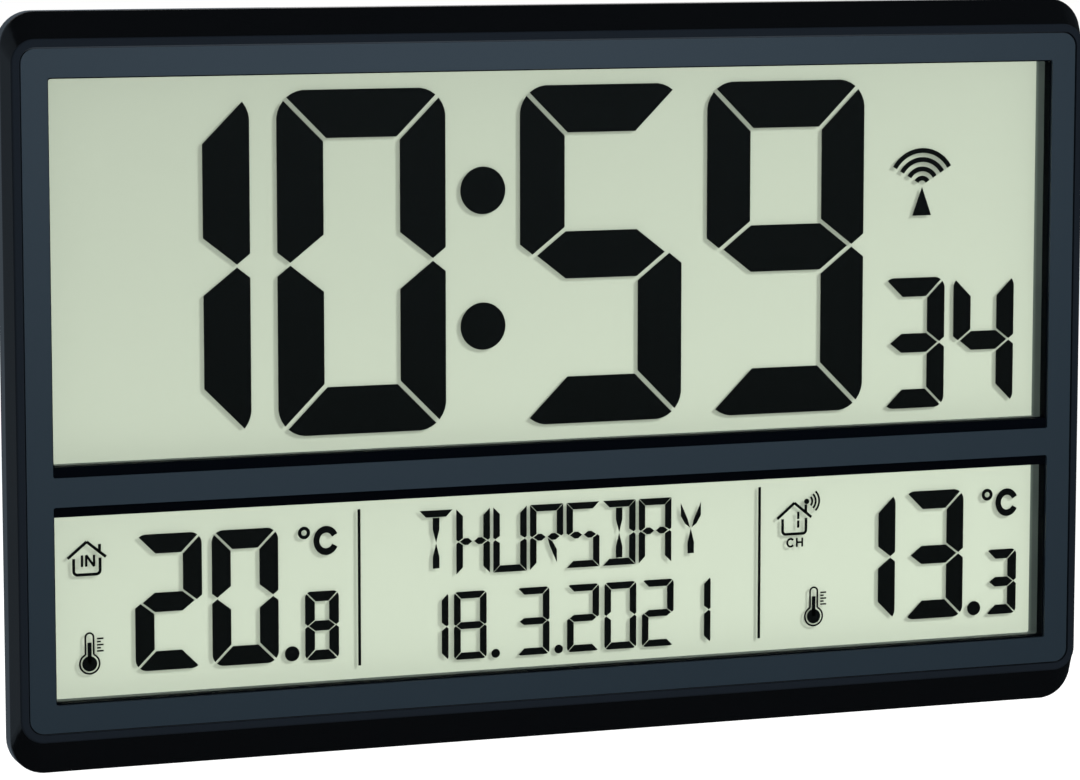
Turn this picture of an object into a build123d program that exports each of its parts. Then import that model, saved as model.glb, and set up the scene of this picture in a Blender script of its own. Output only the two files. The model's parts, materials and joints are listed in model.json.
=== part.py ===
import os

from build123d import *

os.makedirs("parts", exist_ok=True)

# Case: back on the wall plane, front towards -Y, width along X, height along Z
case_width = 366.0
case_height = 236.0
case_depth = 32.0
case_corner = 11.0
case_wall = 2.2
parting_height = 19.0
skirt_height = 6.0
side_band = 1.85
top_band = 8.2
bottom_band = 10.8
band_round = 1.6
rim_strip = 3.0
rim_corner = 7.5
rim_land = 0.9
rim_round = 0.7

# Inlaid front panel and its two windows
panel_corner = 4.5
panel_thickness = 0.9
panel_sunk = 0.4
panel_gap = 0.45
plate_thickness = 2.0
window_side_margin = 8.65
window_top_margin = 9.25
window_bottom_margin = 8.95
window_lip = 0.4
window_corner = 0.8
upper_window_height = 122.3
divider_flat = 9.1
divider_bevel_height = 3.25
divider_bevel_depth = 1.2
collar_wall = 1.6
collar_slope_drop = 4.9
collar_slope_run = 1.25

# Liquid-crystal cells
display_recess = 9.0
glass_thickness = 1.1
cell_gap = 0.2
figure_thickness = 0.1
seal_width = 1.2
reflector_thickness = 0.4
glass_overlap = 2.45
contact_ledge = 4.5
divider_glass_overlap = 3.0
glass_corner = 0.3
strip_thickness = 2.4
strip_end_gap = 22.0

# Display frame and main board
frame_thickness = 1.6
frame_side_margin = 6.5
frame_edge_margin = 0.9
slot_clearance = 0.3
frame_corner = 2.0
board_end_gap = 28.45
board_height = 40.0
board_thickness = 1.6
board_corner = 1.5
board_screw_inset = 6.0
board_bay_gap = 0.5

# Rear cover
back_inset_side = 6.2
back_inset_end = 5.6
back_corner = 9.0
cover_step = 0.8
cover_edge_round = 1.6
lip_thickness = 1.2
lip_height = 1.6
lip_root = 1.5
lip_clearance = 0.2
keyhole_entry_radius = 4.6
keyhole_slot_width = 4.8
keyhole_slot_rise = 9.0
keyhole_spacing = 230.0
keyhole_top_margin = 38.0
vent_count = 6
vent_length = 18.0
vent_width = 1.8
vent_pitch = 4.2
vent_side_margin = 65.0
vent_drop = 0.7

# Screws
boss_radius = 3.2
boss_clearance = 1.3
tower_radius = 3.3
screw_pilot_radius = 1.25
screw_shank_radius = 1.2
screw_head_radius = 2.4
screw_head_height = 1.8
screw_head_seat = 4.0
screw_bite = 5.5
screw_hole_clearance = 0.15
outer_screw_margin = 33.0
inner_screw_spacing = 130.0
small_head_radius = 1.9
small_head_height = 1.3
small_shank_radius = 1.0
small_boss_radius = 2.3
small_hole_clearance = 0.05
frame_screw_inset = 3.0
frame_screw_end_inset = 6.0
frame_screw_bite = 4.5

# Table stand, folded into the back
stand_width = 84.0
stand_length = 86.0
stand_thickness = 3.6
stand_corner = 8.0
stand_sunk = 0.7
stand_side_gap = 0.6
stand_field_margin = 9.0
stand_field_depth = 0.8
stand_scallop_radius = 9.0
stand_tip_margin = 13.0
stand_pin_radius = 1.0
stand_pin_clearance = 0.05
stand_pin_seat = 1.6
stand_barrel_radius = 2.2
stand_floor_gap = 0.8
pin_seat_clearance = 0.02
recess_corner = 1.0

# Battery bay, cells and door
cell_diameter = 14.5
cell_length = 49.2
cell_nub_radius = 2.7
cell_nub_length = 1.3
cell_clearance = 0.5
bay_x = 92.0
bay_bottom_margin = 43.0
bay_floor = 1.1
bay_wall = 1.6
bay_corner = 1.0
bay_frame_gap = 0.2
cell_seat_gap = 0.1
spring_room = 4.8
contact_thickness = 0.4
contact_width = 9.0
contact_corner = 1.0
leaf_width = 7.0
leaf_bend = 0.8
door_ledge = 2.6
door_gap = 0.3
door_thickness = 2.0
door_sunk = 0.3
door_corner = 1.5
door_hook_width = 8.0
door_hook_reach = 2.0
door_hook_thickness = 0.9
door_hook_spacing = 36.0
hook_corner = 0.4
finger_side = 2.5
finger_room = 8.0
finger_corner = 1.5
door_latch_width = 16.0
door_latch_reach = 4.0
door_finger_depth = 4.4
door_grip_count = 4
door_grip_pitch = 3.0
door_grip_width = 1.2
door_grip_height = 0.3

# Keys on the back
key_names = ["mode", "set", "plus", "minus", "channel", "signal"]
key_count = len(key_names)
key_pitch = 19.0
key_width = 12.0
key_tall = 6.0
key_corner = 2.8
key_gap = 0.35
key_sunk = 0.5
key_flange = 1.4
key_flange_thickness = 1.2
key_flange_gap = 0.3
key_edge_round = 0.6
key_stem_radius = 1.8
key_stem_length = 1.1
key_stroke = 0.7
key_free_gap = 0.3
key_strip_top_margin = 66.0
key_strip_depth = 1.8
key_strip_margin = 3.5
key_strip_corner = 4.0
switch_size = 6.0
switch_height = 3.4
switch_plunger_radius = 1.7
switch_plunger_height = 1.2
key_board_margin = 3.0
key_board_thickness = 1.6
key_post_radius = 2.2
key_post_offset = 12.5
key_post_bite = 4.0

# Aerial for the time signal
rod_radius = 4.0
rod_length = 64.0
rod_top_margin = 34.0
rod_height = 11.0
coil_radius = 5.6
coil_length = 22.0
clip_width = 4.0
clip_wall = 2.0
clip_clearance = 0.05
clip_spacing = 48.0
clip_mouth = 6.0

# Parts on the main board
blob_radius = 9.0
blob_height = 2.2
blob_x = -8.0
crystal_width = 11.0
crystal_depth = 4.6
crystal_height = 3.6
crystal_corner = 2.2
crystal_x = 14.0
capacitor_radius = 2.5
capacitor_height = 7.0
capacitor_x = 40.0
capacitor_pitch = 9.0
capacitor_count = 3
time_module_x = -62.0
time_module_length = 24.0
time_module_height = 9.0
sensor_module_margin = 52.0
sensor_module_length = 30.0
sensor_module_height = 8.0
module_thickness = 1.0
sensor_can_length = 14.0
sensor_can_thickness = 3.0
sensor_can_height = 5.0
thermistor_radius = 1.3
thermistor_leg_radius = 0.3
thermistor_leg_length = 6.0
thermistor_leg_spacing = 1.4

# Wiring
lead_radius = 0.7
lead_spacing = 8.0
lead_least_run = 6.0
lead_board_inset = 3.15
lead_height = 11.0
lead_bend = 3.0
aerial_lead_x = -76.0
aerial_lead_bend = 8.0
ribbon_width = 12.0
ribbon_thickness = 0.6
ribbon_bend = 6.0
ribbon_overlap = 5.0
ribbon_x = 20.0

overrun = 2.0

# Shares of each display's sight area: width, height, and place of each figure's centre.
# A stroke is a share of its figure's mean side
time_figure_shares = {"width": 0.1643, "height": 0.9156, "stroke": 0.1951}
time_figure_place_shares = [
    ("1", -0.3879, -0.002), ("0", -0.1975, -0.002), ("5", 0.0409, -0.002), ("9", 0.2313, -0.002),
]
second_figure_shares = {"width": 0.0655, "height": 0.3654, "stroke": 0.2029}
second_figure_place_shares = [("3", 0.3687, -0.281), ("4", 0.444, -0.281)]
colon_place_shares = [(-0.0783, 0.1787), (-0.0783, -0.1859)]
colon_dot_share = 0.1277
degree_figure_shares = {"width": 0.064, "height": 0.7438, "stroke": 0.2004}
degree_figure_place_shares = [
    ("2", -0.3867, -0.0125), ("0", -0.3131, -0.0125), ("1", 0.319, -0.0125), ("3", 0.3928, -0.0125),
]
tenth_figure_shares = {"width": 0.033, "height": 0.38, "stroke": 0.2035}
tenth_figure_place_shares = [("8", -0.2387, -0.1965), ("3", 0.467, -0.1965)]
degree_dot_place_shares = [(-0.2681, -0.343), (0.4375, -0.343)]
degree_dot_share = 0.083
date_figure_shares = {"width": 0.0327, "height": 0.38, "stroke": 0.1438}
date_figure_place_shares = [
    ("1", -0.1299, -0.249), ("8", -0.0916, -0.249), ("3", -0.0279, -0.249), ("2", 0.0229, -0.249),
    ("0", 0.0612, -0.249), ("2", 0.0999, -0.249), ("1", 0.1385, -0.249),
]
date_dot_place_shares = [(-0.0661, -0.417), (-0.0021, -0.417)]
date_dot_share = 0.05
rule_place_shares = [-0.2019, 0.2059]
rule_width_share = 0.0027
rule_height_share = 0.866
figure_gap_share = 0.09
figure_corner_share = 0.62
figure_tip_share = 0.28
figure_slope_share = 0.78

lit_segments = {
    "0": "abcdef", "1": "bc", "2": "abdeg", "3": "abcdg", "4": "bcfg",
    "5": "acdfg", "8": "abcdefg", "9": "abcdfg",
}

# Outlines, each width, height, corner radius and rise of its centre
rim_outline = (
    case_width - 2 * side_band,
    case_height - top_band - bottom_band,
    rim_corner,
    (bottom_band - top_band) / 2,
)
skirt_outline = (case_width, case_height, case_corner, 0)
panel_outline = (
    rim_outline[0] - 2 * rim_strip,
    rim_outline[1] - 2 * rim_strip,
    panel_corner,
    rim_outline[3],
)
cover_rim_outline = (case_width - 2 * cover_step, case_height - 2 * cover_step, case_corner - cover_step, 0)
cover_back_outline = (case_width - 2 * back_inset_side, case_height - 2 * back_inset_end, back_corner, 0)

# Heights above the wall plane
band_start = parting_height + skirt_height
rim_edge = case_depth - rim_land
panel_front = case_depth - panel_sunk
panel_back = panel_front - panel_thickness
plate_back = panel_back - plate_thickness
glass_front = case_depth - display_recess
front_glass_back = glass_front - glass_thickness
rear_glass_front = front_glass_back - cell_gap
rear_glass_back = rear_glass_front - glass_thickness
reflector_back = rear_glass_back - reflector_thickness
frame_back = reflector_back - frame_thickness
board_back = frame_back - board_thickness
figure_back = rear_glass_front + (cell_gap - figure_thickness) / 2

# Window and sight edges
window_width = panel_outline[0] - 2 * window_side_margin
window_top = panel_outline[3] + panel_outline[1] / 2 - window_top_margin
upper_window_bottom = window_top - upper_window_height
lower_window_top = upper_window_bottom - divider_flat
window_bottom = panel_outline[3] - panel_outline[1] / 2 + window_bottom_margin
upper_sight_bottom = upper_window_bottom + divider_bevel_height
lower_sight_top = lower_window_top - divider_bevel_height
divider_z = (upper_window_bottom + lower_window_top) / 2

# Screw places on the case
top_screw_z = window_top + glass_overlap + boss_clearance + boss_radius
bottom_screw_z = window_bottom - glass_overlap - boss_clearance - boss_radius
case_screw_places = [
    (side * x, z)
    for z in (top_screw_z, bottom_screw_z)
    for x in (case_width / 2 - outer_screw_margin, inner_screw_spacing / 2)
    for side in (-1, 1)
]
glass_width = window_width + 2 * glass_overlap
frame_width = glass_width + 2 * frame_side_margin
frame_top = window_top + glass_overlap + frame_edge_margin
frame_bottom = window_bottom - glass_overlap - frame_edge_margin
frame_screw_places = [
    (side * (frame_width / 2 - frame_screw_inset), z)
    for z in (frame_top - frame_screw_end_inset, divider_z, frame_bottom + frame_screw_end_inset)
    for side in (-1, 1)
]
board_length = frame_width - 2 * board_end_gap
board_bottom = divider_z - board_height / 2
board_top = divider_z + board_height / 2
board_screw_x = board_length / 2 - board_screw_inset
board_screw_z = board_height / 2 - board_screw_inset
board_screw_places = [
    (side * board_screw_x, divider_z + level * board_screw_z) for side in (-1, 1) for level in (-1, 1)
]
small_hole_radius = small_shank_radius + small_hole_clearance
screw_hole_radius = screw_shank_radius + screw_hole_clearance
screw_head_hole_radius = screw_head_radius + screw_hole_clearance

# Places on the back, each from the edge of the case or the divider that it keeps to
keyhole_z = case_height / 2 - keyhole_top_margin
rod_z = case_height / 2 - rod_top_margin
key_strip_z = case_height / 2 - key_strip_top_margin
stand_pin_z = stand_tip_margin + stand_length - case_height / 2
vent_x = vent_side_margin - case_width / 2
vent_z = divider_z - vent_drop
bay_z = bay_bottom_margin - case_height / 2
bay_length = cell_length + cell_nub_length + contact_thickness + spring_room
bay_tall = 2 * cell_diameter + 3 * cell_clearance
bay_outline = (bay_length, bay_tall, bay_corner, 0)


def layer(height):
    return Plane.XZ.offset(height)


def inset(outline, amount):
    width, tall, corner, rise = outline
    return (width - 2 * amount, tall - 2 * amount, corner - amount, rise)


def between(low, high, share):
    return tuple(a + (b - a) * share for a, b in zip(low, high))


def slab(low, high, outline, place=(0, 0), mode=Mode.ADD):
    width, tall, corner, rise = outline
    with BuildSketch(layer(low)) as face:
        with Locations((place[0], place[1] + rise)):
            RectangleRounded(width, tall, corner)
    extrude(face.sketch, amount=high - low, mode=mode)


def taper(low, low_outline, high, high_outline, mode=Mode.ADD):
    faces = []
    for height, outline in ((low, low_outline), (high, high_outline)):
        width, tall, corner, rise = outline
        with BuildSketch(layer(height)) as face:
            with Locations((0, rise)):
                RectangleRounded(width, tall, corner)
        faces.append(face.sketch)
    loft(faces, mode=mode)


def posts(low, high, radius, places, mode=Mode.ADD):
    with BuildSketch(layer(low)) as rounds:
        with Locations(*places):
            Circle(radius)
    extrude(rounds.sketch, amount=high - low, mode=mode)


def bar(points, width, centre_x=0, mode=Mode.ADD):
    with BuildSketch(Plane.YZ.offset(centre_x)) as section:
        with BuildLine():
            Polyline([(-height, z) for height, z in points], close=True)
        make_face()
    extrude(section.sketch, amount=width / 2, both=True, mode=mode)


def keep(piece, name):
    piece.part.label = name
    export_step(piece.part, f"parts/{name}.step")


# Front bezel: skirt, sloping bands and rim, hollow behind, with a bevelled divider and window collars
# whose side walls lean in towards the glass
with BuildPart() as front_bezel:
    slab(parting_height, band_start, skirt_outline)
    taper(band_start, skirt_outline, rim_edge, rim_outline)
    fillet(front_bezel.edges().filter_by_position(Axis.Y, -band_start, -band_start), band_round)
    slab(rim_edge, case_depth, rim_outline)
    fillet(front_bezel.faces().sort_by(Axis.Y)[0].edges(), rim_round)
    slab(parting_height, band_start, inset(skirt_outline, case_wall), mode=Mode.SUBTRACT)
    plate_share = (plate_back - band_start) / (rim_edge - band_start)
    plate_outline = between(skirt_outline, rim_outline, plate_share)
    taper(
        band_start,
        inset(skirt_outline, case_wall),
        plate_back,
        inset(plate_outline, case_wall),
        mode=Mode.SUBTRACT,
    )
    slab(panel_back, case_depth + overrun, inset(panel_outline, -panel_gap), mode=Mode.SUBTRACT)
    window_tall = window_top - window_bottom
    window_outline = (window_width, window_tall, window_corner, (window_top + window_bottom) / 2)
    sight_outline = (window_width - 2 * collar_slope_run, *window_outline[1:])
    slope_top = panel_front - collar_slope_drop
    slab(glass_front, plate_back, inset(window_outline, -collar_wall))
    taper(glass_front, sight_outline, slope_top, window_outline, mode=Mode.SUBTRACT)
    slab(slope_top, case_depth, window_outline, mode=Mode.SUBTRACT)
    bevel_low = panel_front - divider_bevel_depth
    bar(
        [
            (glass_front, upper_sight_bottom),
            (bevel_low, upper_sight_bottom),
            (panel_front, upper_window_bottom + panel_gap),
            (panel_back, upper_window_bottom + panel_gap),
            (panel_back, lower_window_top - panel_gap),
            (panel_front, lower_window_top - panel_gap),
            (bevel_low, lower_sight_top),
            (glass_front, lower_sight_top),
            (glass_front, lower_sight_top + collar_wall),
            (plate_back, lower_sight_top + collar_wall),
            (plate_back, upper_sight_bottom - collar_wall),
            (glass_front, upper_sight_bottom - collar_wall),
        ],
        window_width,
    )
    posts(parting_height, plate_back, boss_radius, case_screw_places)
    posts(
        parting_height,
        parting_height + screw_bite + overrun,
        screw_pilot_radius,
        case_screw_places,
        mode=Mode.SUBTRACT,
    )
    posts(reflector_back, plate_back, small_boss_radius, frame_screw_places)
    posts(
        reflector_back,
        reflector_back + frame_screw_bite,
        small_hole_radius,
        frame_screw_places,
        mode=Mode.SUBTRACT,
    )
keep(front_bezel, "front_bezel")

# Front panel: thin inlay with two windows, its bar between them narrower than the divider behind
with BuildPart() as front_panel:
    slab(panel_back, panel_front, panel_outline)
    for low, high in ((upper_window_bottom, window_top), (window_bottom, lower_window_top)):
        tall = high - low + window_lip
        rise = (high + low) / 2 + (window_lip / 2 if high == window_top else -window_lip / 2)
        slab(
            panel_back,
            panel_front,
            (window_width + 2 * window_lip, tall, window_corner, rise),
            mode=Mode.SUBTRACT,
        )
keep(front_panel, "front_panel")

# Both cells: the front glass carries the contact ledge beside the divider
cells = {
    "time": {"sight": (upper_sight_bottom, window_top), "ledge": -1},
    "climate": {"sight": (window_bottom, lower_sight_top), "ledge": 1},
}
strip_places = {}
for name, cell in cells.items():
    low, high = cell["sight"]
    side = cell["ledge"]
    rear_low = low - (divider_glass_overlap if side < 0 else glass_overlap)
    rear_high = high + (divider_glass_overlap if side > 0 else glass_overlap)
    front_low = rear_low - (contact_ledge if side < 0 else 0)
    front_high = rear_high + (contact_ledge if side > 0 else 0)
    front_outline = (glass_width, front_high - front_low, glass_corner, (front_high + front_low) / 2)
    rear_outline = (glass_width, rear_high - rear_low, glass_corner, (rear_high + rear_low) / 2)
    ledge_z = front_low if side < 0 else front_high
    strip_places[name] = (0, ledge_z - side * contact_ledge / 2)

    with BuildPart() as front_glass:
        slab(front_glass_back, glass_front, front_outline)
    keep(front_glass, f"{name}_front_glass")

    with BuildPart() as cell_seal:
        slab(rear_glass_front, front_glass_back, rear_outline)
        sight_width, sight_tall, corner, rise = rear_outline
        slab(
            rear_glass_front,
            front_glass_back,
            (sight_width - 2 * seal_width, sight_tall - 2 * seal_width, corner, rise),
            mode=Mode.SUBTRACT,
        )
    keep(cell_seal, f"{name}_cell_seal")

    with BuildPart() as rear_glass:
        slab(rear_glass_back, rear_glass_front, rear_outline)
    keep(rear_glass, f"{name}_rear_glass")

    with BuildPart() as reflector:
        slab(reflector_back, rear_glass_back, rear_outline)
    keep(reflector, f"{name}_reflector")

    with BuildPart() as contact_strip:
        slab(
            frame_back,
            front_glass_back,
            (board_length - 2 * strip_end_gap, strip_thickness, glass_corner, 0),
            strip_places[name],
        )
    keep(contact_strip, f"{name}_contact_strip")


# One lit figure of seven bars, mitred at the corners and pointed at the middle, centred on its cell
def figure_face(figure, width, tall, stroke):
    half = width / 2
    top = tall / 2
    gap = stroke * figure_gap_share
    tip = half - stroke * figure_tip_share
    notch = stroke * figure_tip_share * figure_slope_share + gap
    shoulder = stroke * (1 - figure_tip_share) * figure_slope_share + gap
    run = stroke / 2 / figure_slope_share
    top_bar = [
        (-half + gap, top),
        (half - gap, top),
        (half - stroke - gap, top - stroke),
        (-half + stroke + gap, top - stroke),
    ]
    side_bar = [
        (half, top - gap),
        (half, notch),
        (tip, gap),
        (half - stroke, shoulder),
        (half - stroke, top - stroke - gap),
    ]
    middle_bar = [
        (-tip + gap, 0),
        (-tip + gap + run, stroke / 2),
        (tip - gap - run, stroke / 2),
        (tip - gap, 0),
        (tip - gap - run, -stroke / 2),
        (-tip + gap + run, -stroke / 2),
    ]
    outlines = {
        "a": top_bar,
        "b": side_bar,
        "c": [(x, -z) for x, z in side_bar],
        "d": [(x, -z) for x, z in top_bar],
        "e": [(-x, -z) for x, z in side_bar],
        "f": [(-x, z) for x, z in side_bar],
        "g": middle_bar,
    }
    with BuildSketch() as face:
        for segment in lit_segments[figure]:
            with BuildLine():
                Polyline(outlines[segment], close=True)
            make_face()
        RectangleRounded(width, tall, stroke * figure_corner_share, mode=Mode.INTERSECT)
    return face.sketch


def lit_figures(sight, groups, dots, rules):
    low, high = sight
    tall = high - low
    centre = (high + low) / 2
    with BuildSketch(layer(figure_back)) as lit:
        for shares, places in groups:
            figure_width = shares["width"] * window_width
            figure_tall = shares["height"] * tall
            stroke = shares["stroke"] * (figure_width * figure_tall) ** 0.5
            for figure, x, z in places:
                with Locations((x * window_width, centre + z * tall)):
                    add(figure_face(figure, figure_width, figure_tall, stroke))
        for share, places in dots:
            with Locations(*[(x * window_width, centre + z * tall) for x, z in places]):
                Circle(share * tall / 2)
        for x in rules:
            with Locations((x * window_width, centre)):
                Rectangle(rule_width_share * window_width, rule_height_share * tall)
    extrude(lit.sketch, amount=figure_thickness)


with BuildPart() as time_figures:
    lit_figures(
        cells["time"]["sight"],
        [
            (time_figure_shares, time_figure_place_shares),
            (second_figure_shares, second_figure_place_shares),
        ],
        [(colon_dot_share, colon_place_shares)],
        [],
    )
keep(time_figures, "time_figures")

with BuildPart() as climate_figures:
    lit_figures(
        cells["climate"]["sight"],
        [
            (degree_figure_shares, degree_figure_place_shares),
            (tenth_figure_shares, tenth_figure_place_shares),
            (date_figure_shares, date_figure_place_shares),
        ],
        [(degree_dot_share, degree_dot_place_shares), (date_dot_share, date_dot_place_shares)],
        rule_place_shares,
    )
keep(climate_figures, "climate_figures")

# Display frame: flat carrier behind both cells, slotted for the contact strips
with BuildPart() as display_frame:
    slab(
        frame_back,
        reflector_back,
        (frame_width, frame_top - frame_bottom, frame_corner, (frame_top + frame_bottom) / 2),
    )
    for place in strip_places.values():
        slab(
            frame_back,
            reflector_back,
            (
                board_length - 2 * strip_end_gap + 2 * slot_clearance,
                strip_thickness + 2 * slot_clearance,
                glass_corner,
                0,
            ),
            place,
            mode=Mode.SUBTRACT,
        )
    posts(
        frame_back,
        reflector_back,
        small_hole_radius,
        frame_screw_places + board_screw_places,
        mode=Mode.SUBTRACT,
    )
keep(display_frame, "display_frame")

# Main board, pressed on the contact strips by its screws and kept clear of the battery bay
with BuildPart() as main_board:
    slab(board_back, frame_back, (board_length, board_height, board_corner, divider_z))
    slab(
        board_back,
        frame_back,
        inset(bay_outline, -bay_wall - board_bay_gap),
        (bay_x, bay_z),
        mode=Mode.SUBTRACT,
    )
    posts(board_back, frame_back, small_hole_radius, board_screw_places, mode=Mode.SUBTRACT)
keep(main_board, "main_board")


# A pan-head screw for each place, head towards the wall, under its seat
def pan_screws(seat, tip, head_radius, head_height, shank_radius, places):
    posts(seat - head_height, seat, head_radius, places)
    posts(seat, tip, shank_radius, places)


with BuildPart() as board_screws:
    pan_screws(
        board_back,
        reflector_back,
        small_head_radius,
        small_head_height,
        small_shank_radius,
        board_screw_places,
    )
keep(board_screws, "board_screws")

with BuildPart() as frame_screws:
    pan_screws(
        frame_back,
        reflector_back + frame_screw_bite - small_shank_radius,
        small_head_radius,
        small_head_height,
        small_shank_radius,
        frame_screw_places,
    )
keep(frame_screws, "frame_screws")

# Rear cover: tapered shell with a lip, screw towers, keyholes, vents, stand recess, battery bay and key strip
stand_pin_height = stand_sunk + stand_barrel_radius
stand_recess_depth = stand_pin_height + stand_barrel_radius + stand_floor_gap
stand_recess_top = stand_pin_z + stand_barrel_radius + stand_floor_gap
stand_recess_bottom = stand_pin_z - stand_length - stand_side_gap
stand_recess_outline = (
    stand_width + 2 * stand_side_gap,
    stand_recess_top - stand_recess_bottom,
    recess_corner,
    (stand_recess_top + stand_recess_bottom) / 2,
)
bay_top = frame_back - bay_frame_gap
bay_inside = bay_top - bay_floor
cell_height = bay_inside - cell_seat_gap - cell_diameter / 2
door_width = bay_length + 2 * door_ledge
door_tall = bay_tall + 2 * door_ledge
door_inside = door_sunk + door_thickness
door_bottom = bay_z - door_tall / 2
door_top = bay_z + door_tall / 2
hook_swing = (door_hook_reach**2 + door_thickness**2) ** 0.5 + door_gap
hook_places = [bay_x + side * door_hook_spacing / 2 for side in (-1, 1)]
pad_high = door_sunk + hook_swing + case_wall
pad_bottom = door_bottom - hook_swing - case_wall
pad_top = door_top + door_latch_reach + finger_room + case_wall
finger_outline = (
    door_latch_width + 2 * finger_side,
    door_latch_reach + finger_room,
    finger_corner,
    (door_latch_reach + finger_room) / 2,
)
key_row = [((index - (key_count - 1) / 2) * key_pitch, key_strip_z) for index in range(key_count)]
key_floor = key_strip_depth + case_wall
key_strip_outline = (
    (key_count - 1) * key_pitch + key_width + 2 * key_strip_margin,
    key_tall + 2 * key_strip_margin,
    key_strip_corner,
    0,
)
key_outline = (key_width, key_tall, key_corner, 0)
flange_low = key_floor + key_flange_gap
stem_low = flange_low + key_flange_thickness
plunger_tip = stem_low + key_stem_length + key_stroke + key_free_gap
switch_low = plunger_tip + switch_plunger_height
key_board_low = switch_low + switch_height
key_board_high = key_board_low + key_board_thickness
key_post_places = [(side * (key_row[-1][0] + key_post_offset), key_strip_z) for side in (-1, 1)]
head_seat = parting_height - screw_head_seat

with BuildPart() as rear_cover:
    taper(0, cover_back_outline, parting_height, cover_rim_outline)
    fillet(rear_cover.faces().sort_by(Axis.Y)[-1].edges(), cover_edge_round)
    floor_outline = between(cover_back_outline, cover_rim_outline, case_wall / parting_height)
    taper(
        case_wall,
        inset(floor_outline, case_wall),
        parting_height,
        inset(cover_rim_outline, case_wall),
        mode=Mode.SUBTRACT,
    )
    lip_outline = inset(skirt_outline, case_wall + lip_clearance)
    lip_low = parting_height - lip_root
    lip_high = parting_height + lip_height
    slab(lip_low, lip_high, lip_outline)
    slab(lip_low, lip_high, inset(lip_outline, lip_thickness), mode=Mode.SUBTRACT)

    # Solid pads and posts that the recesses and screws are cut from
    posts(case_wall / 2, parting_height, tower_radius, case_screw_places)
    posts(case_wall / 2, key_board_low, key_post_radius, key_post_places)
    slab(case_wall / 2, stand_recess_depth + case_wall, inset(stand_recess_outline, -case_wall))
    slab(
        case_wall / 2,
        pad_high,
        (door_width + 2 * door_gap + 2 * case_wall, pad_top - pad_bottom, recess_corner, 0),
        (bay_x, (pad_top + pad_bottom) / 2),
    )
    slab(case_wall / 2, bay_top, inset(bay_outline, -bay_wall), (bay_x, bay_z))
    slab(case_wall / 2, key_floor, inset(key_strip_outline, -case_wall), (0, key_strip_z))

    # Case screws: deep counterbores and clearance holes
    posts(-overrun, head_seat, screw_head_hole_radius, case_screw_places, mode=Mode.SUBTRACT)
    posts(head_seat, parting_height, screw_hole_radius, case_screw_places, mode=Mode.SUBTRACT)
    posts(
        key_board_low - key_post_bite,
        key_board_low,
        small_hole_radius,
        key_post_places,
        mode=Mode.SUBTRACT,
    )

    # Stand recess and the seats of its pin
    slab(-overrun, stand_recess_depth, stand_recess_outline, mode=Mode.SUBTRACT)
    with BuildSketch(Plane.YZ) as pin_hole:
        with Locations((-stand_pin_height, stand_pin_z)):
            Circle(stand_pin_radius + pin_seat_clearance)
    extrude(
        pin_hole.sketch,
        amount=stand_recess_outline[0] / 2 + stand_pin_seat + pin_seat_clearance,
        both=True,
        mode=Mode.SUBTRACT,
    )

    # Battery bay, the door's seat, the pockets for its hooks and the finger notch at its latch
    slab(-overrun, bay_inside, bay_outline, (bay_x, bay_z), mode=Mode.SUBTRACT)
    slab(
        -overrun,
        door_inside + door_gap,
        (door_width + 2 * door_gap, door_tall + 2 * door_gap, door_corner + door_gap, 0),
        (bay_x, bay_z),
        mode=Mode.SUBTRACT,
    )
    slab(-overrun, door_finger_depth, finger_outline, (bay_x, door_top), mode=Mode.SUBTRACT)
    for hook_x in hook_places:
        slab(
            door_inside - door_hook_thickness - door_gap,
            door_sunk + hook_swing,
            (door_hook_width + 2 * door_gap, hook_swing + door_ledge + overrun, hook_corner, 0),
            (hook_x, door_bottom + (door_ledge + overrun - hook_swing) / 2),
            mode=Mode.SUBTRACT,
        )

    # Key strip and its openings
    slab(-overrun, key_strip_depth, key_strip_outline, (0, key_strip_z), mode=Mode.SUBTRACT)
    for place in key_row:
        slab(0, key_floor, inset(key_outline, -key_gap), place, mode=Mode.SUBTRACT)

    # Keyholes and vents
    with BuildSketch(layer(-overrun)) as keyholes:
        with Locations((0, keyhole_z)):
            with GridLocations(keyhole_spacing, 0, 2, 1):
                Circle(keyhole_entry_radius)
        with Locations((0, keyhole_z + keyhole_slot_rise / 2)):
            with GridLocations(keyhole_spacing, 0, 2, 1):
                SlotCenterToCenter(keyhole_slot_rise, keyhole_slot_width, rotation=90)
        with Locations((vent_x, vent_z)):
            with GridLocations(0, vent_pitch, 1, vent_count):
                SlotOverall(vent_length, vent_width)
    extrude(keyholes.sketch, amount=case_wall + 2 * overrun, mode=Mode.SUBTRACT)
keep(rear_cover, "rear_cover")

with BuildPart() as case_screws:
    pan_screws(
        head_seat,
        parting_height + screw_bite,
        screw_head_radius,
        screw_head_height,
        screw_shank_radius,
        case_screw_places,
    )
keep(case_screws, "case_screws")

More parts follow.
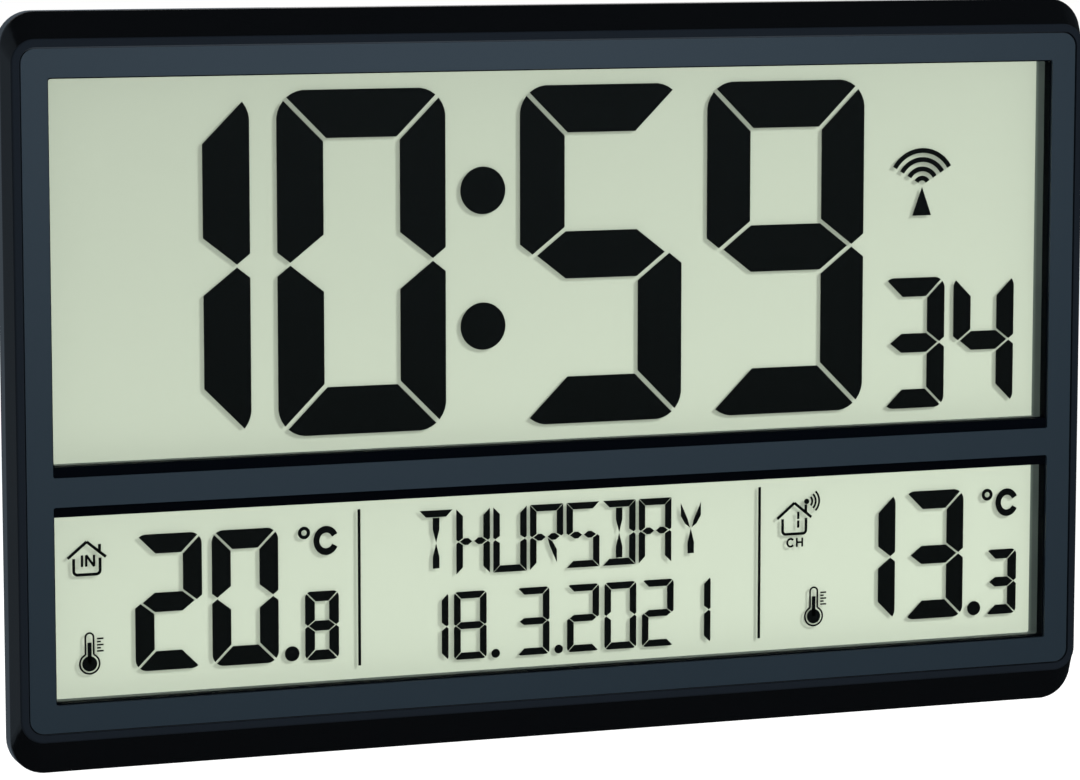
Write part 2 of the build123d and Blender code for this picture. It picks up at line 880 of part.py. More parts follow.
# Table stand: a plate on a barrel, with a sunk field and a scallop for a fingertip
with BuildPart() as stand:
    with BuildSketch(layer(stand_sunk)) as stand_outline:
        with Locations((0, stand_pin_z - stand_length / 2)):
            Rectangle(stand_width, stand_length)
        fillet(stand_outline.vertices().group_by(Axis.Y)[0], stand_corner)
        with Locations((0, stand_pin_z - stand_length)):
            Circle(stand_scallop_radius, mode=Mode.SUBTRACT)
    extrude(amount=stand_thickness)
    with BuildSketch(Plane.YZ) as barrel:
        with Locations((-stand_pin_height, stand_pin_z)):
            Circle(stand_barrel_radius)
    extrude(amount=stand_width / 2, both=True)
    field_tall = stand_length - stand_scallop_radius - 2 * stand_field_margin - stand_barrel_radius
    slab(
        stand_sunk,
        stand_sunk + stand_field_depth,
        (stand_width - 2 * stand_field_margin, field_tall, stand_corner - stand_field_margin / 2, 0),
        (0, stand_pin_z - stand_barrel_radius - stand_field_margin - field_tall / 2),
        mode=Mode.SUBTRACT,
    )
    with BuildSketch(Plane.YZ) as bore:
        with Locations((-stand_pin_height, stand_pin_z)):
            Circle(stand_pin_radius + stand_pin_clearance)
    extrude(amount=stand_width, both=True, mode=Mode.SUBTRACT)
keep(stand, "stand")

with BuildPart() as stand_pin:
    with BuildSketch(Plane.YZ) as pin_section:
        with Locations((-stand_pin_height, stand_pin_z)):
            Circle(stand_pin_radius)
    extrude(amount=stand_recess_outline[0] / 2 + stand_pin_seat, both=True)
keep(stand_pin, "stand_pin")

# Battery door: plate with two hooks below and a latch tongue above, ribbed for the thumb
with BuildPart() as battery_door:
    slab(door_sunk, door_inside, (door_width, door_tall, door_corner, 0), (bay_x, bay_z))
    slab(
        door_sunk,
        door_inside,
        (door_latch_width, 2 * door_latch_reach, door_corner, 0),
        (bay_x, door_top),
    )
    for hook_x in hook_places:
        slab(
            door_inside - door_hook_thickness,
            door_inside,
            (door_hook_width, 2 * door_hook_reach, hook_corner, 0),
            (hook_x, door_bottom),
        )
    for index in range(door_grip_count):
        slab(
            door_sunk - door_grip_height,
            door_sunk,
            (door_latch_width, door_grip_width, door_grip_width / 3, 0),
            (bay_x, door_top - (index + 1) * door_grip_pitch),
        )
keep(battery_door, "battery_door")

# Two cells head to tail, with flat contacts at their nubs and leaf springs at their flat ends
cell_pitch = cell_diameter + cell_clearance
cell_rows = [(side, bay_z + side * cell_pitch / 2) for side in (1, -1)]
with BuildPart() as battery_cells:
    for side, z in cell_rows:
        nub_face = bay_x - side * (bay_length / 2 - contact_thickness)
        nub = (nub_face, cell_nub_length, cell_nub_radius)
        can = (nub_face + side * cell_nub_length, cell_length, cell_diameter / 2)
        for start, length, radius in (nub, can):
            with BuildSketch(Plane.YZ.offset(start)) as end:
                with Locations((-cell_height, z)):
                    Circle(radius)
            extrude(end.sketch, amount=side * length)
keep(battery_cells, "battery_cells")

with BuildPart() as flat_contacts:
    for side, z in cell_rows:
        with BuildSketch(Plane.YZ.offset(bay_x - side * bay_length / 2)) as plate:
            with Locations((-cell_height, z)):
                RectangleRounded(contact_width, contact_width, contact_corner)
        extrude(plate.sketch, amount=side * contact_thickness)
keep(flat_contacts, "flat_contacts")

with BuildPart() as spring_contacts:
    for side, z in cell_rows:
        wall_x = bay_x + side * bay_length / 2
        half = contact_thickness / 2
        back = wall_x - side * half
        leaf_points = [
            (back, -(cell_height - contact_width / 2)),
            (back, -(cell_height + contact_width / 2)),
            (wall_x - side * (spring_room - contact_thickness), -cell_height),
            (wall_x - side * spring_room / 2, -(cell_height - contact_width / 2)),
        ]
        with BuildSketch(Plane.XY.offset(z - leaf_width / 2)) as leaf:
            with BuildLine():
                FilletPolyline(*leaf_points, radius=leaf_bend)
            trace(line_width=contact_thickness)
        extrude(leaf.sketch, amount=leaf_width)
keep(spring_contacts, "spring_contacts")

# Keys, each with a retaining flange inside the cover and a stem over its switch
for index, place in enumerate(key_row):
    with BuildPart() as key:
        slab(key_sunk, flange_low, key_outline, place)
        fillet(key.faces().sort_by(Axis.Y)[-1].edges(), key_edge_round)
        slab(flange_low, stem_low, inset(key_outline, -key_flange), place)
        posts(stem_low, stem_low + key_stem_length, key_stem_radius, [place])
    keep(key, f"{key_names[index]}_key")

with BuildPart() as key_board:
    slab(
        key_board_low,
        key_board_high,
        (
            2 * (key_post_places[-1][0] + key_post_radius + key_board_margin),
            key_tall + 2 * key_strip_margin + key_board_margin,
            board_corner,
            0,
        ),
        (0, key_strip_z),
    )
    posts(key_board_low, key_board_high, small_hole_radius, key_post_places, mode=Mode.SUBTRACT)
keep(key_board, "key_board")

with BuildPart() as key_switches:
    for place in key_row:
        slab(switch_low, key_board_low, (switch_size, switch_size, board_corner / 3, 0), place)
    posts(plunger_tip, switch_low, switch_plunger_radius, key_row)
keep(key_switches, "key_switches")

with BuildPart() as key_board_screws:
    posts(key_board_high, key_board_high + small_head_height, small_head_radius, key_post_places)
    posts(key_board_low - key_post_bite, key_board_high, small_shank_radius, key_post_places)
keep(key_board_screws, "key_board_screws")


def cross_rod(low_x, high_x, radius, hollow=0):
    with BuildSketch(Plane.YZ.offset(low_x)) as section:
        with Locations((-rod_height, rod_z)):
            Circle(radius)
            if hollow:
                Circle(hollow, mode=Mode.SUBTRACT)
    extrude(section.sketch, amount=high_x - low_x)


# Ferrite aerial: rod, winding and the clips that carry it on the rear cover
with BuildPart() as ferrite_rod:
    cross_rod(-rod_length / 2, rod_length / 2, rod_radius)
keep(ferrite_rod, "ferrite_rod")

with BuildPart() as aerial_coil:
    cross_rod(-coil_length / 2, coil_length / 2, coil_radius, rod_radius + clip_clearance)
keep(aerial_coil, "aerial_coil")

with BuildPart() as aerial_clips:
    for side in (-1, 1):
        clip_top = rod_height + rod_radius / 2
        with BuildSketch(Plane.YZ.offset(side * clip_spacing / 2)) as clip:
            with Locations((-(clip_top + case_wall) / 2, rod_z)):
                Rectangle(clip_top - case_wall, 2 * (rod_radius + clip_wall))
            with Locations((-rod_height, rod_z)):
                Circle(rod_radius + clip_clearance, mode=Mode.SUBTRACT)
                Rectangle(2 * rod_radius, clip_mouth, align=(Align.MAX, Align.CENTER), mode=Mode.SUBTRACT)
        extrude(clip.sketch, amount=clip_width / 2, both=True)
keep(aerial_clips, "aerial_clips")

# Parts soldered on the back of the main board
with BuildPart() as controller_blob:
    with BuildSketch(Plane.XY.offset(divider_z)) as dome:
        with BuildLine():
            dome_arc = SagittaArc(
                (blob_x - blob_radius, -board_back), (blob_x + blob_radius, -board_back), blob_height
            )
            Line(dome_arc @ 1, dome_arc @ 0)
        make_face()
        with Locations((blob_x, -board_back)):
            Rectangle(
                blob_radius, 2 * blob_height, align=(Align.MIN, Align.CENTER), mode=Mode.INTERSECT
            )
    revolve(axis=Axis((blob_x, -board_back, divider_z), (0, 1, 0)))
keep(controller_blob, "controller_blob")

with BuildPart() as quartz_crystal:
    slab(
        board_back - crystal_height,
        board_back,
        (crystal_width, crystal_depth, crystal_corner, divider_z),
        (crystal_x, 0),
    )
keep(quartz_crystal, "quartz_crystal")

with BuildPart() as capacitors:
    posts(
        board_back - capacitor_height,
        board_back,
        capacitor_radius,
        [(capacitor_x + index * capacitor_pitch, divider_z) for index in range(capacitor_count)],
    )
keep(capacitors, "capacitors")

time_module_z = divider_z + board_height / 4
with BuildPart() as time_receiver:
    slab(
        board_back - time_module_height,
        board_back,
        (time_module_length, module_thickness, module_thickness / 4, time_module_z),
        (time_module_x, 0),
    )
keep(time_receiver, "time_receiver")

sensor_module_x = sensor_module_margin - board_length / 2
sensor_module_z = divider_z - board_height / 4
with BuildPart() as sensor_receiver:
    slab(
        board_back - sensor_module_height,
        board_back,
        (sensor_module_length, module_thickness, module_thickness / 4, sensor_module_z),
        (sensor_module_x, 0),
    )
    slab(
        board_back - sensor_module_height / 2 - sensor_can_height / 2,
        board_back - sensor_module_height / 2 + sensor_can_height / 2,
        (sensor_can_length, sensor_can_thickness, module_thickness / 4, sensor_module_z),
        (sensor_module_x, -sensor_can_thickness / 2),
    )
keep(sensor_receiver, "sensor_receiver")

bead_height = board_back - thermistor_leg_length
with BuildPart() as thermistor:
    posts(
        bead_height,
        board_back,
        thermistor_leg_radius,
        [(vent_x + side * thermistor_leg_spacing / 2, vent_z) for side in (-1, 1)],
    )
    with Locations((vent_x, -bead_height, vent_z)):
        Sphere(thermistor_radius)
keep(thermistor, "thermistor")


def wire(points, bends):
    with BuildLine() as route:
        FilletPolyline(*[(x, -height, z) for x, height, z in points], radius=bends)
    with BuildSketch(Plane(route.line @ 0, z_dir=route.line % 0)) as section:
        Circle(lead_radius)
    sweep(section.sketch, path=route.line)


# Leads from the battery bay and the aerial, and the ribbon from the key board, all to the main board
with BuildPart() as battery_leads:
    lead_start = bay_z + bay_tall / 2 + bay_wall
    lead_end = max(board_bottom + lead_board_inset, lead_start + lead_least_run)
    for side in (-1, 1):
        lead_x = bay_x + side * lead_spacing / 2
        wire(
            [
                (lead_x, lead_height, lead_start),
                (lead_x, lead_height, lead_end),
                (lead_x, board_back, lead_end),
            ],
            lead_bend,
        )
keep(battery_leads, "battery_leads")

with BuildPart() as aerial_lead:
    coil_edge = rod_z - coil_radius
    lead_turn = coil_edge - 2 * aerial_lead_bend
    wire(
        [
            (0, rod_height, coil_edge),
            (0, rod_height, lead_turn),
            (aerial_lead_x, rod_height, lead_turn),
            (aerial_lead_x, rod_height, time_module_z),
            (aerial_lead_x, board_back, time_module_z),
        ],
        [aerial_lead_bend, aerial_lead_bend, lead_bend],
    )
keep(aerial_lead, "aerial_lead")

with BuildPart() as key_ribbon:
    ribbon_low = key_board_high + ribbon_thickness / 2
    ribbon_high = board_back - ribbon_thickness / 2
    key_board_bottom = key_strip_z - (key_tall + 2 * key_strip_margin + key_board_margin) / 2
    ribbon_points = [
        (-ribbon_low, key_board_bottom + ribbon_overlap),
        (-ribbon_low, key_board_bottom - ribbon_overlap),
        (-ribbon_high, board_top + ribbon_overlap),
        (-ribbon_high, board_top - ribbon_overlap),
    ]
    with BuildSketch(Plane.YZ.offset(ribbon_x - ribbon_width / 2)) as ribbon:
        with BuildLine():
            FilletPolyline(*ribbon_points, radius=ribbon_bend)
        trace(line_width=ribbon_thickness)
    extrude(ribbon.sketch, amount=ribbon_width)
keep(key_ribbon, "key_ribbon")
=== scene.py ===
import json
import math

import bmesh
import bpy
from mathutils import Matrix, Vector


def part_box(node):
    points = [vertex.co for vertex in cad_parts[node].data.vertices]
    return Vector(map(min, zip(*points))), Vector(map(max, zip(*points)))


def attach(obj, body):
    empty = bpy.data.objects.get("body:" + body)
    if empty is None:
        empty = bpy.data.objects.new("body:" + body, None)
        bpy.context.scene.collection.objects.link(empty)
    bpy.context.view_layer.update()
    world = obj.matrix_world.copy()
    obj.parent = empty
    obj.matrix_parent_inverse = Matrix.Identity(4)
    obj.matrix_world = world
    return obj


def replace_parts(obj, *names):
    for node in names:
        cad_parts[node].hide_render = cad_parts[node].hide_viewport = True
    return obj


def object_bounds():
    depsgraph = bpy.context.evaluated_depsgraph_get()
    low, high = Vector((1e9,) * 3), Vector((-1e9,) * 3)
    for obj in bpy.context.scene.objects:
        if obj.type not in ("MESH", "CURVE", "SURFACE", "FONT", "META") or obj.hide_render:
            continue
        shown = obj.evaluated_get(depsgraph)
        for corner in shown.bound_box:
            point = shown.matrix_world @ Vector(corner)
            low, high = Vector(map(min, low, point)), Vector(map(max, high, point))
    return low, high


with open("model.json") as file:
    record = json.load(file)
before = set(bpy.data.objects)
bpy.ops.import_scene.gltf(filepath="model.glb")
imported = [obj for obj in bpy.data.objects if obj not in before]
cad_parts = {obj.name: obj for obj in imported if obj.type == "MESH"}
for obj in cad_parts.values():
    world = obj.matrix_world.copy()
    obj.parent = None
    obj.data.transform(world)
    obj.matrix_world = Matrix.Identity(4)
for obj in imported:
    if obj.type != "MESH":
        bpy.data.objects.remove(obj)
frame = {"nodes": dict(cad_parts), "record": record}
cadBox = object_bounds()
mm = 0.001
print("frame loaded:", len(frame["nodes"]), "nodes")


# Node helpers: a node with its settings and input values, and a link by socket names
def addNode(tree, kind, inputs=None, **settings):
    node = tree.nodes.new(kind)
    for name, value in settings.items():
        setattr(node, name, value)
    for name, value in (inputs or {}).items():
        node.inputs[name].default_value = value
    return node


def link(tree, source, output, target, entry):
    tree.links.new(source.outputs[output], target.inputs[entry])


def newGroup(name, entries, exits):
    tree = bpy.data.node_groups.new(name, "ShaderNodeTree")
    for label, kind, value in entries:
        socket = tree.interface.new_socket(label, in_out="INPUT", socket_type=kind)
        socket.default_value = value
    for label, kind in exits:
        tree.interface.new_socket(label, in_out="OUTPUT", socket_type=kind)
    return tree, addNode(tree, "NodeGroupInput"), addNode(tree, "NodeGroupOutput")


# Moulded grain: a fine pimple for the bump, and slow clouds that vary the tone and the gloss
def buildMouldGrain():
    tree, entry, leave = newGroup(
        "mouldGrain",
        [
            ("Color", "NodeSocketColor", (0.5, 0.5, 0.5, 1)),
            ("Scale", "NodeSocketFloat", 1500.0),
            ("Cloud Scale", "NodeSocketFloat", 18.0),
            ("Tone", "NodeSocketFloat", 0.1),
            ("Roughness", "NodeSocketFloat", 0.4),
            ("Spread", "NodeSocketFloat", 0.08),
            ("Bump", "NodeSocketFloat", 0.1),
        ],
        [("Color", "NodeSocketColor"), ("Roughness", "NodeSocketFloat"), ("Normal", "NodeSocketVector")],
    )
    place = addNode(tree, "ShaderNodeTexCoord")
    fine = addNode(tree, "ShaderNodeTexNoise", {"Detail": 2.0, "Roughness": 0.55})
    cloud = addNode(tree, "ShaderNodeTexNoise", {"Detail": 4.0, "Roughness": 0.6})
    for noise, scale in ((fine, "Scale"), (cloud, "Cloud Scale")):
        link(tree, place, "Object", noise, "Vector")
        link(tree, entry, scale, noise, "Scale")
    mixed = addNode(tree, "ShaderNodeMath", operation="ADD")
    link(tree, fine, "Fac", mixed, 0)
    link(tree, cloud, "Fac", mixed, 1)
    swing = addNode(tree, "ShaderNodeMath", {1: 1.0}, operation="SUBTRACT")
    link(tree, mixed, "Value", swing, 0)
    tone = addNode(tree, "ShaderNodeMath", {2: 1.0}, operation="MULTIPLY_ADD")
    link(tree, swing, "Value", tone, 0)
    link(tree, entry, "Tone", tone, 1)
    tinted = addNode(tree, "ShaderNodeVectorMath", operation="SCALE")
    link(tree, entry, "Color", tinted, 0)
    link(tree, tone, "Value", tinted, "Scale")
    rough = addNode(tree, "ShaderNodeMath", operation="MULTIPLY_ADD", use_clamp=True)
    link(tree, swing, "Value", rough, 0)
    link(tree, entry, "Spread", rough, 1)
    link(tree, entry, "Roughness", rough, 2)
    bump = addNode(tree, "ShaderNodeBump", {"Distance": 0.0002})
    link(tree, fine, "Fac", bump, "Height")
    link(tree, entry, "Bump", bump, "Strength")
    link(tree, tinted, "Vector", leave, "Color")
    link(tree, rough, "Value", leave, "Roughness")
    link(tree, bump, "Normal", leave, "Normal")
    return tree


mouldGrain = buildMouldGrain()


# A finish: one shader, with its constant values on its own sockets, fed by the moulded grain
def newFinish(name, look):
    material = bpy.data.materials.new(name)
    material.use_nodes = True
    tree = material.node_tree
    shader = tree.nodes["Principled BSDF"]
    for label, value in look.get("shader", {}).items():
        shader.inputs[label].default_value = value
    grain = addNode(tree, "ShaderNodeGroup", node_tree=mouldGrain)
    for label, value in look["grain"].items():
        grain.inputs[label].default_value = value
    link(tree, grain, "Color", shader, "Base Color")
    link(tree, grain, "Roughness", shader, "Roughness")
    link(tree, grain, "Normal", shader, "Normal")
    material.diffuse_color = grain.inputs["Color"].default_value
    return material


def colour(red, green, blue):
    return (red, green, blue, 1)


finishLooks = {
    "gloss_black": {
        "grain": {"Color": colour(0.0018, 0.0021, 0.0026), "Scale": 700.0, "Tone": 0.15,
                  "Roughness": 0.2, "Spread": 0.05, "Bump": 0.015},
        "shader": {"Specular IOR Level": 0.5},
    },
    "slate_panel": {
        "grain": {"Color": colour(0.0115, 0.0195, 0.0272), "Scale": 2600.0, "Cloud Scale": 9.0,
                  "Tone": 0.08, "Roughness": 0.36, "Spread": 0.05, "Bump": 0.05},
        "shader": {"Specular IOR Level": 0.5},
    },
    "satin_black": {
        "grain": {"Color": colour(0.026, 0.0265, 0.028), "Scale": 1300.0, "Tone": 0.25,
                  "Roughness": 0.48, "Spread": 0.12, "Bump": 0.35},
        "shader": {"Specular IOR Level": 0.5},
    },
    "key_grey": {
        "grain": {"Color": colour(0.075, 0.077, 0.08), "Scale": 1800.0, "Tone": 0.12,
                  "Roughness": 0.55, "Spread": 0.1, "Bump": 0.15},
    },
    "display_reflector": {
        "grain": {"Color": colour(0.522, 0.59, 0.468), "Scale": 5200.0, "Cloud Scale": 7.0,
                  "Tone": 0.05, "Roughness": 0.7, "Spread": 0.05, "Bump": 0.02},
        "shader": {"Specular IOR Level": 0.1},
    },
    "display_ink": {
        "grain": {"Color": colour(0.0022, 0.0028, 0.0028), "Scale": 2400.0, "Tone": 0.1,
                  "Roughness": 0.5, "Spread": 0.06, "Bump": 0.02},
        "shader": {"Specular IOR Level": 0.05},
    },
    "cell_seal": {
        "grain": {"Color": colour(0.32, 0.34, 0.3), "Roughness": 0.6},
    },
    "contact_rubber": {
        "grain": {"Color": colour(0.2, 0.19, 0.19), "Scale": 2500.0, "Roughness": 0.8, "Bump": 0.2},
    },
    "carrier_plastic": {
        "grain": {"Color": colour(0.62, 0.62, 0.6), "Roughness": 0.55, "Bump": 0.15},
    },
    "board_laminate": {
        "grain": {"Color": colour(0.03, 0.13, 0.06), "Scale": 900.0, "Tone": 0.2, "Roughness": 0.45},
    },
    "black_epoxy": {
        "grain": {"Color": colour(0.008, 0.008, 0.009), "Scale": 500.0, "Roughness": 0.35, "Bump": 0.2},
    },
    "zinc_steel": {
        "grain": {"Color": colour(0.5, 0.49, 0.46), "Scale": 3200.0, "Roughness": 0.34, "Spread": 0.2},
        "shader": {"Metallic": 1.0},
    },
    "contact_plating": {
        "grain": {"Color": colour(0.64, 0.62, 0.58), "Scale": 2600.0, "Roughness": 0.28, "Spread": 0.15},
        "shader": {"Metallic": 1.0},
    },
    "capacitor_sleeve": {
        "grain": {"Color": colour(0.02, 0.03, 0.09), "Roughness": 0.4},
    },
    "ferrite": {
        "grain": {"Color": colour(0.03, 0.03, 0.032), "Scale": 2200.0, "Roughness": 0.7, "Bump": 0.4},
    },
    "copper_winding": {
        "grain": {"Color": colour(0.45, 0.17, 0.07), "Scale": 3000.0, "Roughness": 0.35, "Bump": 0.3},
        "shader": {"Metallic": 1.0},
    },
    "cell_jacket": {
        "grain": {"Color": colour(0.05, 0.052, 0.055), "Roughness": 0.3, "Spread": 0.06, "Bump": 0.03},
    },
    "lead_sleeve": {
        "grain": {"Color": colour(0.3, 0.02, 0.02), "Roughness": 0.45},
    },
}
finishes = {name: newFinish(name, look) for name, look in finishLooks.items()}


# Front moulding: a matte rim round the panel, and collars round the windows, with matte black walls near
# the front and a glossy border whose grey-green is a painted reflection of the display, paler towards the
# glass. A zone is all that lies ahead of its depth
frontZones = {
    "rim": {
        "depth": -0.03112,
        "look": {"Base Color": colour(0.0065, 0.0092, 0.0132), "Roughness": 0.7,
                 "Specular IOR Level": 0.12},
    },
    # Border: its gloss reflects the display for real, and its grey-green colour is painted reflection of
    # the display
    "border": {
        "depth": -0.0229,
        "look": {"Roughness": 0.45, "Specular IOR Level": 0.25},
    },
    "wall": {
        "depth": -0.0267,
        "look": {"Base Color": colour(0.0007, 0.0012, 0.0022), "Roughness": 0.75,
                 "Specular IOR Level": 0.03},
    },
}
windowArea = {"halfWidth": 0.1698, "low": -0.0956, "high": 0.0979}
# Painted reflection: the border's colour runs from grey-green to paler by the glass, standing in for the
# lit display mirrored there
paintedReflectionFade = {
    "start": -0.0246, "end": -0.0229,
    "tones": (colour(0.054, 0.07, 0.066), colour(0.15, 0.19, 0.165)),
}


def allOf(tree, tests):
    mask = None
    for source, output, operation, limit in tests:
        test = addNode(tree, "ShaderNodeMath", {1: limit}, operation=operation)
        link(tree, source, output, test, 0)
        if mask:
            both = addNode(tree, "ShaderNodeMath", operation="MULTIPLY")
            link(tree, mask, "Value", both, 0)
            link(tree, test, "Value", both, 1)
            test = both
        mask = test
    return mask


# Paints the display's reflection into the border's colour, lighter towards the glass
def addPaintedReflectionFade(tree, axes):
    limits = {"From Min": paintedReflectionFade["start"], "From Max": paintedReflectionFade["end"]}
    rise = addNode(tree, "ShaderNodeMapRange", limits, interpolation_type="SMOOTHSTEP")
    link(tree, axes, "Y", rise, "Value")
    fade = addNode(tree, "ShaderNodeMix", data_type="RGBA")
    link(tree, rise, "Result", fade, "Factor")
    tones = [socket for socket in fade.inputs if socket.type == "RGBA"]
    for socket, tone in zip(tones, paintedReflectionFade["tones"]):
        socket.default_value = tone
    return next(socket for socket in fade.outputs if socket.type == "RGBA")


def addFrontZones(material):
    tree = material.node_tree
    place = addNode(tree, "ShaderNodeTexCoord")
    axes = addNode(tree, "ShaderNodeSeparateXYZ")
    link(tree, place, "Object", axes, "Vector")
    across = addNode(tree, "ShaderNodeMath", operation="ABSOLUTE")
    link(tree, axes, "X", across, 0)
    surface, socket = tree.nodes["Principled BSDF"], "BSDF"
    windows = [
        (across, "Value", "LESS_THAN", windowArea["halfWidth"]),
        (axes, "Z", "GREATER_THAN", windowArea["low"]),
        (axes, "Z", "LESS_THAN", windowArea["high"]),
    ]
    for name, zone in frontZones.items():
        ahead = (axes, "Y", "LESS_THAN", zone["depth"])
        mask = allOf(tree, [ahead] if name == "rim" else [ahead] + windows)
        coat = addNode(tree, "ShaderNodeBsdfPrincipled", zone["look"])
        if name == "border":
            tree.links.new(addPaintedReflectionFade(tree, axes), coat.inputs["Base Color"])
        mix = addNode(tree, "ShaderNodeMixShader")
        link(tree, mask, "Value", mix, "Fac")
        link(tree, surface, socket, mix, 1)
        link(tree, coat, "BSDF", mix, 2)
        surface, socket = mix, "Shader"
    link(tree, surface, socket, tree.nodes["Material Output"], "Surface")


addFrontZones(finishes["gloss_black"])


# Painted light: the display field's colour is painted a little paler towards its lower right
paintedFieldLight = {"level": 0.98, "slope": (0.28, 0.0, -1.4)}


# Paints that gradient of light into the reflector's colour, by place on the field
def addPaintedFieldLight(material):
    tree = material.node_tree
    shader = tree.nodes["Principled BSDF"]
    source = shader.inputs["Base Color"].links[0].from_node
    place = addNode(tree, "ShaderNodeTexCoord")
    rise = addNode(tree, "ShaderNodeVectorMath", {1: paintedFieldLight["slope"]}, operation="DOT_PRODUCT")
    link(tree, place, "Object", rise, 0)
    level = addNode(tree, "ShaderNodeMath", {1: paintedFieldLight["level"]}, operation="ADD")
    link(tree, rise, "Value", level, 0)
    faded = addNode(tree, "ShaderNodeVectorMath", operation="SCALE")
    link(tree, source, "Color", faded, 0)
    link(tree, level, "Value", faded, "Scale")
    link(tree, faded, "Vector", shader, "Base Color")


addPaintedFieldLight(finishes["display_reflector"])


# Dry cells: bare steel at the nub, a copper band, a dark wrap and bare steel at the other end.
# A stop is the share of the length from the nub, the colour and how metallic it is
cellWrap = [
    (0.0, colour(0.5, 0.49, 0.47), 1.0),
    (0.026, colour(0.36, 0.15, 0.06), 0.75),
    (0.24, colour(0.022, 0.023, 0.026), 0.0),
    (0.998, colour(0.5, 0.49, 0.47), 1.0),
]


def addStops(tree, source, output, shades):
    ramp = addNode(tree, "ShaderNodeValToRGB")
    stops = ramp.color_ramp
    stops.interpolation = "CONSTANT"
    while len(stops.elements) < len(shades):
        stops.elements.new(1.0)
    for element, (spot, shade) in zip(stops.elements, shades):
        element.position, element.color = spot, shade
    link(tree, source, output, ramp, "Fac")
    return ramp


def addCellWrap(material):
    tree = material.node_tree
    shader = tree.nodes["Principled BSDF"]
    low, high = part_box("battery_cells")
    place = addNode(tree, "ShaderNodeTexCoord")
    axes = addNode(tree, "ShaderNodeSeparateXYZ")
    link(tree, place, "Object", axes, "Vector")
    along = addNode(tree, "ShaderNodeMapRange", {"From Min": low.x, "From Max": high.x})
    link(tree, axes, "X", along, "Value")
    lower = addNode(tree, "ShaderNodeMath", {1: (low.z + high.z) / 2}, operation="LESS_THAN")
    link(tree, axes, "Z", lower, 0)
    offset = addNode(tree, "ShaderNodeMath", operation="SUBTRACT")  # the lower cell lies the other way
    link(tree, along, "Result", offset, 0)
    link(tree, lower, "Value", offset, 1)
    fromNub = addNode(tree, "ShaderNodeMath", operation="ABSOLUTE")
    link(tree, offset, "Value", fromNub, 0)
    tone = addStops(tree, fromNub, "Value", [(spot, shade) for spot, shade, _ in cellWrap])
    metal = addStops(tree, fromNub, "Value", [(spot, colour(*[share] * 3)) for spot, _, share in cellWrap])
    link(tree, tone, "Color", shader.inputs["Base Color"].links[0].from_node, "Color")
    link(tree, metal, "Color", shader, "Metallic")


addCellWrap(finishes["cell_jacket"])


# Clear glass cells: all but a trace of the surface lets the light through
glassLook = {"Base Color": colour(0.02, 0.03, 0.02), "Roughness": 0.25, "Alpha": 0.012}


def buildDisplayGlass():
    material = bpy.data.materials.new("display_glass")
    material.use_nodes = True
    shader = material.node_tree.nodes["Principled BSDF"]
    for label, value in glassLook.items():
        shader.inputs[label].default_value = value
    return material


finishes["display_glass"] = buildDisplayGlass()

for row in frame["record"]["subparts"]:
    node = frame["nodes"][row["node"]]
    for holder in node.material_slots:
        holder.material = finishes[row["material_slot"]]
print("finishes set:", len(finishes))

# Printed marks of the displays, in the same layer as the lit figures
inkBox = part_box("climate_figures")
inkBack = inkBox[1].y
inkDepth = inkBox[1].y - inkBox[0].y
arcStep = math.radians(6)
arcLeast = 4
discSides = 32


def thicken(bm, faces):
    grown = bmesh.ops.extrude_face_region(bm, geom=faces)
    moved = [item for item in grown["geom"] if isinstance(item, bmesh.types.BMVert)]
    bmesh.ops.translate(bm, vec=(0, -inkDepth, 0), verts=moved)


def addOutline(bm, points):
    corners = [bm.verts.new((x * mm, inkBack, z * mm)) for x, z in points]
    thicken(bm, [bm.faces.new(corners)])


def addBar(bm, start, end, width):
    along = Vector(end) - Vector(start)
    side = Vector((-along.y, along.x)).normalized() * width / 2
    addOutline(bm, [Vector(start) + side, Vector(start) - side, Vector(end) - side, Vector(end) + side])


def addDisc(bm, centre, radius):
    upright = Matrix.Rotation(math.pi / 2, 4, "X")
    place = Matrix.Translation((centre[0] * mm, inkBack, centre[1] * mm)) @ upright
    disc = bmesh.ops.create_circle(bm, cap_ends=True, segments=discSides, radius=radius * mm, matrix=place)
    thicken(bm, disc["verts"][0].link_faces[:])


# An arc of a given line width, from start to end in degrees clockwise from upright
def addArc(bm, centre, radius, width, start, end, squeeze=1.0):
    first = math.radians(start)
    sweep = math.radians(end - start)
    full = end - start >= 360
    known = set(bm.faces)
    spoke = []
    for reach in (radius - width / 2, radius + width / 2):
        spoke.append(bm.verts.new(((centre[0] + reach * math.sin(first)) * mm, inkBack,
                                   (centre[1] + reach * math.cos(first)) * mm)))
    edge = bm.edges.new(spoke)
    middle = Vector((centre[0] * mm, inkBack, centre[1] * mm))
    bmesh.ops.spin(bm, geom=spoke + [edge], cent=middle, axis=(0, 1, 0), angle=sweep,
                   steps=max(arcLeast, round(abs(sweep) / arcStep)), use_merge=full)
    made = [face for face in bm.faces if face not in known]
    verts = list({vert for face in made for vert in face.verts})
    bmesh.ops.scale(bm, vec=(1, 1, squeeze), space=Matrix.Translation(-middle), verts=verts)
    thicken(bm, made)


def finishPiece(name, bm, material, body):
    bmesh.ops.recalc_face_normals(bm, faces=bm.faces[:])
    mesh = bpy.data.meshes.new(name)
    bm.to_mesh(mesh)
    bm.free()
    piece = bpy.data.objects.new(name, mesh)
    bpy.context.scene.collection.objects.link(piece)
    mesh.materials.append(material)
    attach(piece, body)
    return piece


def finishMark(name, bm):
    return finishPiece(name, bm, finishes["display_ink"], "case")


